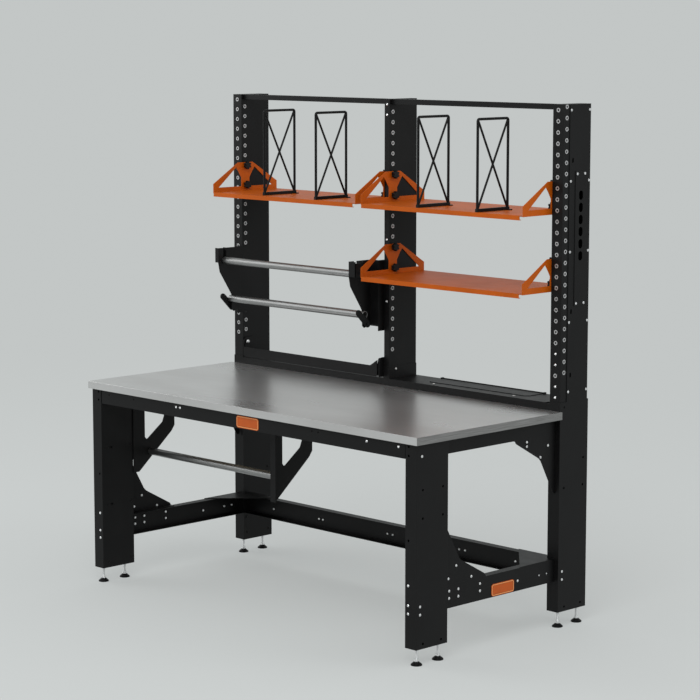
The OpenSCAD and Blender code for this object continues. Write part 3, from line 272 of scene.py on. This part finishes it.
def worktop_material(name):
    """Brushed grey sheet with soft cloudy reflections, and end faces with fine streaks and
    painted shade that makes them darker.
    """
    m = Mat(name)
    cloud = m.noise(scale=2.4, detail=4.0, rough=0.58, stretch=(0.7, 1.6, 1.0))
    side = m.calc("ABSOLUTE", m.axes("Normal"), "X")
    end = m.calc("GREATER_THAN", side, "Value", END_FACE)
    lines = m.noise(scale=420.0, detail=3.0, rough=0.6, stretch=(1.0, 0.02, 1.0))
    # End faces take the darker tones, which are painted shade.
    m.base_by(end, m.two_tone(cloud, *WORKTOP_TONES), m.two_tone(lines, *WORKTOP_END_SHADE_TONES))
    wipe = m.noise(scale=3.0, detail=2.0, rough=0.45, stretch=(0.6, 1.6, 1.0))
    m.roughness(wipe, 0.23, 0.35)
    fine = m.noise(scale=260.0, detail=3.0, rough=0.6, stretch=(0.03, 1.0, 0.3))
    m.bump(fine, "Fac", strength=0.004, distance=FINE_BUMP, edge=0.0012)
    m.set(Metallic=0.88)
    return m.mat


def insert_material(name):
    """Dull zinc rivet nuts."""
    m = Mat(name)
    tone = m.noise(scale=140.0, detail=3.0, rough=0.6)
    m.base(m.two_tone(tone, *INSERT_TONES, METAL_FROM_SHARE))
    m.roughness(tone, 0.42, 0.6)
    m.bump(tone, "Fac", strength=0.15, distance=FINE_BUMP, edge=0.0004)
    m.set(Metallic=0.9)
    return m.mat


def plate_material(name, front_floor, right_floor):
    """Bare label plates, with painted shade that makes their grooves darker.

    front_floor is the y that the front plate's groove lies behind, and right_floor the x
    that the right plate's groove lies inside.
    """
    m = Mat(name)
    sep = m.axes()
    front = m.calc("GREATER_THAN", sep, "Y", front_floor)
    side = m.calc("LESS_THAN", sep, "X", right_floor)
    both = m.calc_two("MULTIPLY", front, "Value", side, "Value")
    tone = m.noise(scale=30.0, detail=4.0, rough=0.6)
    # The grooves take a darker copy of the orange: painted shade.
    m.base_by(both, m.two_tone(tone, *shades(PLATE, 0.92, 1.08)),
              m.two_tone(tone, *shades(PLATE, 0.22, 0.3)))
    m.roughness(tone, 0.4, 0.55)
    m.bump(tone, "Fac", strength=0.1, distance=FINE_BUMP, edge=0.0006)
    m.set(Specular_IOR_Level=0.3)
    return m.mat


def board_material(name):
    """Pressed wood board, hidden under the worktop's cover."""
    m = Mat(name)
    grain = m.noise(scale=240.0, detail=4.0, rough=0.7)
    m.base(m.two_tone(grain, *BOARD_TONES))
    m.roughness(grain, 0.7, 0.9)
    m.bump(grain, "Fac", strength=0.4, distance=0.0006, edge=0.0)
    return m.mat


black_paint = paint("black_powder_coat", BLACK, rough=0.42, peel=0.08, level=0.16)
orange_paint = paint("orange_powder_coat", ORANGE, rough=0.42, peel=0.06, level=0.14, spread=0.1)
# Lighter orange for the plates' rims: a painted highlight.
rim_highlight_paint = paint("plate_rim_painted_highlight", PLATE_RIM_HIGHLIGHT, rough=0.45, peel=0.05, level=0.3, spread=0.05)
plastic = paint("black_plastic", PLASTIC, rough=0.48, peel=0.15, level=0.2, edge=0.001)
zinc = steel("zinc_plate", col=ZINC, rough=0.32, scale=220.0)
slot_materials = {
    "worktop_steel": worktop_material("worktop_sheet"),
    "board": board_material("pressed_board"),
    "black_paint": black_paint,
    "orange_paint": orange_paint,
    "black_plastic": plastic,
    "zinc": zinc,
    "tube_steel": steel("drawn_tube", **TUBE_FINISH),
}

# Nodes with a material of their own.
JOURNAL = 0.0042
GROOVE_HALF_DEEP = 0.0003
plate_low, plate_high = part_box("number_plates")
lower_low, lower_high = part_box("lower_roll_tube")
own_materials = {
    "lower_roll_tube": banded_tube("drawn_tube_black_ends", lower_low[0] + JOURNAL,
                                   lower_high[0] - JOURNAL),
    "thread_inserts": insert_material("rivet_nut_zinc"),
    "number_plates": plate_material("orange_plate", plate_low[1] + GROOVE_HALF_DEEP,
                                    plate_high[0] - GROOVE_HALF_DEEP),
}
foot_mat = foot_material("foot_black_and_zinc")

slots = {s["node"]: s["material_slot"] for s in frame["record"]["subparts"]}
for name, obj in nodes.items():
    if name.startswith("foot_"):
        mat = foot_mat
    else:
        mat = own_materials.get(name, slot_materials[slots[name]])
    obj.data.materials.clear()
    obj.data.materials.append(mat)

# ---------------------------------------------------------------- mesh helpers

X, Y, Z = (1, 0, 0), (0, 1, 0), (0, 0, 1)
FORWARD = (0, -1, 0)
CORNER_STEPS = 8
TURN_STEPS = 40
BEVEL_STEPS = 2
SHEET_BEVEL = 0.0004
# Edges that turn by more than this, in radians, are bevelled.
SHARP = 1.2


def object_from(name, bm):
    """Object of a bmesh, with its normals outwards."""
    bmesh.ops.recalc_face_normals(bm, faces=bm.faces)
    if bm.calc_volume(signed=True) < 0.0:
        bmesh.ops.reverse_faces(bm, faces=bm.faces)
    mesh = bpy.data.meshes.new(name)
    bm.to_mesh(mesh)
    bm.free()
    obj = bpy.data.objects.new(name, mesh)
    bpy.context.scene.collection.objects.link(obj)
    return obj


def extrude_all(bm, depth):
    made = bmesh.ops.extrude_face_region(bm, geom=list(bm.faces))
    moved = [g for g in made["geom"] if isinstance(g, bmesh.types.BMVert)]
    bmesh.ops.translate(bm, vec=(0.0, 0.0, depth), verts=moved)
    bmesh.ops.recalc_face_normals(bm, faces=bm.faces)


def bevel_edges(bm, edges, offset):
    bmesh.ops.bevel(bm, geom=edges, offset=offset, segments=BEVEL_STEPS, affect="EDGES",
                    clamp_overlap=True)


def solid_from_outline(name, outline, depth, place):
    """Sheet piece: a closed outline, extruded, then set in place by a 4x4 matrix."""
    bm = bmesh.new()
    bm.faces.new([bm.verts.new((u, v, 0.0)) for u, v in outline])
    extrude_all(bm, depth)
    bevel_edges(bm, list(bm.edges), SHEET_BEVEL)
    bm.transform(place)
    return object_from(name, bm)


def solid_between(name, outer, inner, depth, place, bevel):
    """Sheet piece with one hole: the space between two closed outlines, extruded."""
    bm = bmesh.new()
    edges = []
    for loop in (outer, inner):
        verts = [bm.verts.new((u, v, 0.0)) for u, v in loop]
        edges += [bm.edges.new((a, b)) for a, b in zip(verts, verts[1:] + verts[:1])]
    bmesh.ops.triangle_fill(bm, use_beauty=True, edges=edges)
    extrude_all(bm, depth)
    bevel_edges(bm, [e for e in bm.edges if e.calc_face_angle(0.0) > SHARP], bevel)
    bm.transform(place)
    return object_from(name, bm)


def turned(name, profile, place):
    """Piece of revolution: profile of (radius, height) points about the w axis."""
    bm = bmesh.new()
    rings = []
    for r, h in profile:
        if r == 0.0:
            rings.append([bm.verts.new((0.0, 0.0, h))])
        else:
            circle = arc(0.0, 0.0, r, 0.0, 360.0, TURN_STEPS)[:-1]
            rings.append([bm.verts.new((u, v, h)) for u, v in circle])
    for low, high in zip(rings, rings[1:]):
        for k in range(TURN_STEPS):
            n = (k + 1) % TURN_STEPS
            quad = [low[k % len(low)], low[n % len(low)],
                    high[n % len(high)], high[k % len(high)]]
            bm.faces.new(list(dict.fromkeys(quad)))
    bm.transform(place)
    obj = object_from(name, bm)
    for face in obj.data.polygons:
        face.use_smooth = True
    return obj


def arc(cx, cy, r, start, end, steps):
    """Points of an arc from start to end, in degrees."""
    angles = [math.radians(start + (end - start) * k / steps) for k in range(steps + 1)]
    return [(cx + r * math.cos(a), cy + r * math.sin(a)) for a in angles]


def rounded_rectangle(w, h, r):
    pts = []
    for k, (sx, sy) in enumerate(((1, 1), (-1, 1), (-1, -1), (1, -1))):
        pts += arc(sx * (w / 2 - r), sy * (h / 2 - r), r, 90 * k, 90 * k + 90, CORNER_STEPS)
    return pts


def basis(origin, u, v, w):
    """Matrix that takes outline axes u, v and the depth axis w to the frame's axes."""
    m = Matrix.Identity(4)
    for col, vec in enumerate((u, v, w, origin)):
        for row in range(3):
            m[row][col] = vec[row]
    return m


def finish_piece(obj, body, mat):
    obj.data.materials.append(mat)
    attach(obj, body)


# ---------------------------------------------------------------- small pieces

# Outer cheeks that close the upper roll's seats at the side, with a rounded lower corner.
SHEET = 0.003
CHEEK_DEPTH = 0.0453
CHEEK_HIGH = 0.059
CHEEK_DROP = 0.006
CHEEK_ROUND = 0.009
CHEEK_STEPS = 6
CHEEK_X = {"left": -0.836, "right": -0.0223 - SHEET}

plates_low, plates_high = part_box("upper_roll_plates")
cheek_top = CHEEK_HIGH - CHEEK_DROP
cheek_corner = arc(CHEEK_DEPTH - CHEEK_ROUND, CHEEK_ROUND, CHEEK_ROUND, -90.0, 0.0, CHEEK_STEPS)
cheek_outline = [(0.0, cheek_top), (0.0, 0.0)] + cheek_corner + [(CHEEK_DEPTH, cheek_top)]
for side, x in CHEEK_X.items():
    place = basis((x, plates_low[1], plates_high[2] - CHEEK_HIGH), Y, Z, X)
    cheek = solid_from_outline("roll_seat_cheek_" + side, cheek_outline, SHEET, place)
    finish_piece(cheek, "frame", black_paint)

# Raised rims of the two bare plates, over their grooves, in a lighter orange that is a painted
# highlight. The first line is the plates' size.
BADGE_W, BADGE_H, BADGE_ROUND = 0.121, 0.045, 0.010
RIM_IN = 0.0024
RIM_WIDE = 0.0028
RIM_PROUD = 0.0006
RIM_BEVEL = 0.0002

rim_outer, rim_inner = [rounded_rectangle(BADGE_W - 2 * k, BADGE_H - 2 * k, BADGE_ROUND - k)
                        for k in (RIM_IN, RIM_IN + RIM_WIDE)]
rim_places = {
    "front": basis((plate_low[0] + BADGE_W / 2, plate_low[1], plate_high[2] - BADGE_H / 2),
                   X, Z, FORWARD),
    "right": basis((plate_high[0], plate_high[1] - BADGE_W / 2, plate_low[2] + BADGE_H / 2),
                   Y, Z, X),
}
for side, place in rim_places.items():
    rim = solid_between("plate_rim_" + side, rim_outer, rim_inner, RIM_PROUD, place, RIM_BEVEL)
    finish_piece(rim, "frame", rim_highlight_paint)

# Latch levers, wider and blunter than the CAD's and with eased edges, as in the photo.
# The round ends meet the sides at LEVER_SIDE degrees from the lever's own axis.
LEVER_PIN_Y, LEVER_PIN_Z = 0.223, 1.05002
LEVER_RISE = math.radians(136.5)
LEVER_LEN = 0.080
LEVER_ROOT = 0.0136
LEVER_TIP = 0.0118
LEVER_SIDE = 88.0
LEVER_STEPS = 20
LEVER_BORE = 0.0043
LEVER_BORE_SIDES = 24
LEVER_BEVEL = 0.0009

along = (0.0, math.cos(LEVER_RISE), math.sin(LEVER_RISE))
across = (0.0, -math.sin(LEVER_RISE), math.cos(LEVER_RISE))
lever_outline = (arc(0.0, 0.0, LEVER_ROOT, LEVER_SIDE, 360.0 - LEVER_SIDE, LEVER_STEPS)
                 + arc(LEVER_LEN - LEVER_TIP, 0.0, LEVER_TIP, -LEVER_SIDE, LEVER_SIDE,
                       LEVER_STEPS))
lever_bore = arc(0.0, 0.0, LEVER_BORE, 0.0, 360.0, LEVER_BORE_SIDES)[:-1]
for side in ("left", "right"):
    low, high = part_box("latch_" + side)
    place = basis((low[0], LEVER_PIN_Y, LEVER_PIN_Z), along, across, X)
    lever = solid_between("latch_lever_" + side, lever_outline, lever_bore, high[0] - low[0],
                          place, LEVER_BEVEL)
    finish_piece(lever, "latch_" + side, black_paint)
    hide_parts("latch_" + side)

# Black caps over the latches' pin heads and a bright one over the tear bar's left pin.
# Their profiles leave a hollow for the head. The latches' caps have x and the way they face.
LATCH_CAP = [(0.0, 0.0033), (0.0052, 0.0033), (0.0052, 0.0), (0.0064, 0.0), (0.0064, 0.0032),
             (0.0060, 0.0040), (0.0050, 0.0044), (0.0, 0.0046)]
LATCH_CAP_X = {"left": (-0.8358, -1), "right": (-0.0385, 1)}
PIN_CAP = [(0.0, 0.0034), (0.0052, 0.0034), (0.0052, 0.0001), (0.0078, 0.0001),
           (0.0078, 0.0030), (0.0072, 0.0042), (0.0056, 0.0050), (0.0, 0.0053)]
PIN_CAP_AT = (-0.828, 0.304, 0.899)

for side, (x, way) in LATCH_CAP_X.items():
    place = basis((x, LEVER_PIN_Y, LEVER_PIN_Z), (0, way, 0), Z, (way, 0, 0))
    cap = turned("latch_cap_" + side, LATCH_CAP, place)
    finish_piece(cap, "frame", plastic)
pin_cap = turned("tear_bar_pin_cap", PIN_CAP, basis(PIN_CAP_AT, Y, Z, X))
finish_piece(pin_cap, "frame", zinc)

# Button screws at the front of the tray, on both sides of the flap: a low straight edge,
# a crown up to CROWN_END degrees, and a shallow socket. Shares are of the height.
SCREW_R, SCREW_H = 0.00475, 0.0034
SCREW_EDGE_SHARE = 0.35
CROWN_END, CROWN_STEPS = 60.0, 5
SOCKET_R = 0.002
SOCKET_DEEP_SHARE = 0.4
SOCKET_LIP = 0.0001
SOCKET_TAPER = 0.0002
SCREW_X = {"left": 0.2295, "right": 0.6404}
SCREW_Y, TRAY_TOP = 0.3113, 0.835

edge_h = SCREW_H * SCREW_EDGE_SHARE
crown = [(SCREW_R * u, edge_h + (SCREW_H - edge_h) * v)
         for u, v in arc(0.0, 0.0, 1.0, 0.0, CROWN_END, CROWN_STEPS)]
socket_top = crown[-1][1] + SOCKET_LIP
socket_floor = socket_top - SCREW_H * SOCKET_DEEP_SHARE
screw_profile = ([(0.0, 0.0), (SCREW_R, 0.0)] + crown
                 + [(SOCKET_R, socket_top), (SOCKET_R - SOCKET_TAPER, socket_floor),
                    (0.0, socket_floor)])
for side, x in SCREW_X.items():
    screw = turned("tray_screw_" + side, screw_profile, basis((x, SCREW_Y, TRAY_TOP), X, Y, Z))
    finish_piece(screw, "frame", zinc)

# Black strip below the tear bar, close over the tray, shaped as a folded lower hem: a dark sheet
# that stands in for the shade under the tear bar.
SHADE_STRIP_DOWN = 0.0042
SHADE_STRIP_LAP = 0.0005
SHADE_STRIP_T = 0.0018
SHADE_STRIP_END = 0.004

bar_low, bar_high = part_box("tear_bar")
shade_strip_len = bar_high[0] - bar_low[0] - 2 * SHADE_STRIP_END
shade_strip_h = SHADE_STRIP_DOWN + SHADE_STRIP_LAP
# The strip is painted shade, drawn as black sheet.
shade_strip = solid_from_outline(
    "tear_bar_shade_strip", [(0.0, 0.0), (shade_strip_len, 0.0), (shade_strip_len, shade_strip_h), (0.0, shade_strip_h)], SHADE_STRIP_T,
    basis((bar_low[0] + SHADE_STRIP_END, bar_low[1] + SHADE_STRIP_T, bar_low[2] - SHADE_STRIP_DOWN), X, Z, FORWARD))
finish_piece(shade_strip, "tear_bar", black_paint)

# ---------------------------------------------------------------- stage

BACK = (0.545, 0.569, 0.564)
OWN_LIGHT = 0.55
FADE_FROM = 2.6
FADE_TO = 7.5
FLOOR_REACH = 80.0
FLOOR_SIDES = 96
WORLD_LIGHT = (0.95, 0.955, 0.955)
WORLD_LEVEL = 0.95


def seen_share(m):
    """1 for camera, mirror and glass rays, 0 for the rays that light the object."""
    path = m.node("ShaderNodeLightPath")
    seen = m.calc_two("MAXIMUM", path, "Is Camera Ray", path, "Is Glossy Ray")
    return m.calc_two("MAXIMUM", seen, "Value", path, "Is Transmission Ray")


def floor_material(name):
    """Matt pale floor. Where it is looked at it has partly its own colour, and further out
    only that, so that it runs into the studio wall while the soft shadow still shows."""
    m = Mat(name)
    cloud = m.noise(scale=0.15, detail=2.0, rough=0.4)
    m.base(m.two_tone(cloud, *shades(BACK, 0.99, 1.01)))
    m.set(Roughness=0.85, Specular_IOR_Level=0.1)
    far = m.node("ShaderNodeVectorMath", operation="LENGTH")
    m.link(m.coord, "Object", far, 0)
    fade = m.value(far, "Value", OWN_LIGHT, 1.0)
    fade.inputs["From Min"].default_value = FADE_FROM
    fade.inputs["From Max"].default_value = FADE_TO
    part = m.calc_two("MULTIPLY", seen_share(m), "Value", fade, "Result")
    glow = m.node("ShaderNodeEmission")
    glow.inputs["Color"].default_value = opaque(BACK)
    glow.inputs["Strength"].default_value = 1.0
    mix = m.node("ShaderNodeMixShader")
    m.link(part, "Value", mix, "Fac")
    m.link(m.bsdf, "BSDF", mix, 1)
    m.link(glow, "Emission", mix, 2)
    m.link(mix, "Shader", m.out, "Surface")
    return m.mat


def studio_floor():
    """Round floor, wide enough to reach the horizon of every view."""
    bm = bmesh.new()
    bmesh.ops.create_circle(bm, cap_ends=True, cap_tris=True, segments=FLOOR_SIDES,
                            radius=FLOOR_REACH)
    obj = object_from("studio_floor", bm)
    obj.data.materials.append(floor_material("floor_paper"))


def area_light(name, place, target, size, power):
    data = bpy.data.lights.new(name, "AREA")
    data.shape = "RECTANGLE"
    data.size, data.size_y = size
    data.energy = power
    obj = bpy.data.objects.new(name, data)
    obj.location = place
    look = Vector(target) - Vector(place)
    obj.rotation_euler = look.to_track_quat("-Z", "Y").to_euler()
    bpy.context.scene.collection.objects.link(obj)


studio_floor()
area_light("key", place=(3.5, -5.5, 6.5), target=(0, 0, 0.8), size=(5.0, 4.0), power=270)
area_light("left_fill", place=(-6.5, -3.0, 3.5), target=(0, 0, 0.9), size=(4.0, 4.0), power=105)
area_light("right_edge", place=(6.0, 3.0, 4.0), target=(0, 0, 1.0), size=(3.0, 4.0), power=60)


class WorldNodes(Mat):
    """The same helper on the world's own node tree."""

    def __init__(self, tree):
        self.nt = tree
        self.nt.nodes.clear()

    def background(self, col, strength):
        n = self.node("ShaderNodeBackground")
        n.inputs["Color"].default_value = opaque(col)
        n.inputs["Strength"].default_value = strength
        return n


world = bpy.data.worlds.new("studio")
bpy.context.scene.world = world
world.use_nodes = True
sky = WorldNodes(world.node_tree)
blend = sky.node("ShaderNodeMixShader")
sky.link(seen_share(sky), "Value", blend, "Fac")
sky.link(sky.background(WORLD_LIGHT, WORLD_LEVEL), "Background", blend, 1)
sky.link(sky.background(BACK, 1.0), "Background", blend, 2)
sky.link(blend, "Shader", sky.node("ShaderNodeOutputWorld"), "Surface")

# ---------------------------------------------------------------- camera

cam_data = bpy.data.cameras.new("camera")
cam_data.sensor_width = 36.0
cam_data.lens = 119.61
cam = bpy.data.objects.new("camera", cam_data)
cam.location = (6.2987, -6.0916, 2.1931)
cam.rotation_euler = (math.radians(82.08), 0.0, math.radians(45.55))
bpy.context.scene.collection.objects.link(cam)
bpy.context.scene.camera = cam
bpy.context.scene.view_settings.view_transform = "Standard"
